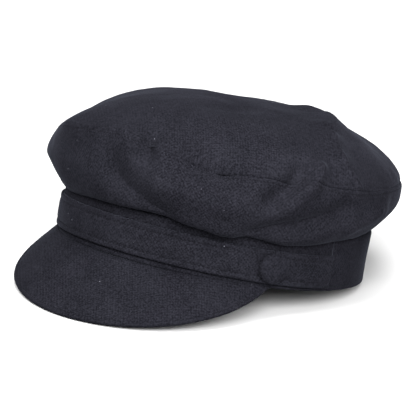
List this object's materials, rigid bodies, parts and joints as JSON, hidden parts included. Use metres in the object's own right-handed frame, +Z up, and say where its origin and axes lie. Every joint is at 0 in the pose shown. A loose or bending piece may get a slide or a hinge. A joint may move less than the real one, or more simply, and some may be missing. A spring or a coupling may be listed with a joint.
{
  "type": "fisherman cap",
  "caption": "Soft wool fisherman cap with a full rolled crown, upright band, sloped peak and a topstitched cloth strap held by covered buttons; worn on the head.",
  "frame": {"origin": "middle of the cap's bounding box, on the floor it rests on", "axes": "+Z up, the peak towards -Y, the wearer's left towards +X"},
  "size_m": [0.2144, 0.262, 0.111],
  "materials": {
    "crown_cloth": "napped navy wool",
    "band_cloth": "napped navy wool",
    "peak_cloth": "navy wool stretched over a stiffener",
    "strap_cloth": "napped navy wool, topstitched",
    "button_cloth": "navy wool over a button"
  },
  "bodies": {
    "root": {"crown_top": "crown_cloth", "crown_side": "crown_cloth", "band_front": "band_cloth", "band_back": "band_cloth", "peak": "peak_cloth", "strap": "strap_cloth", "strap_tab_left": "strap_cloth", "strap_tab_right": "strap_cloth", "button_left": "button_cloth", "button_right": "button_cloth"}
  },
  "joints": []
}
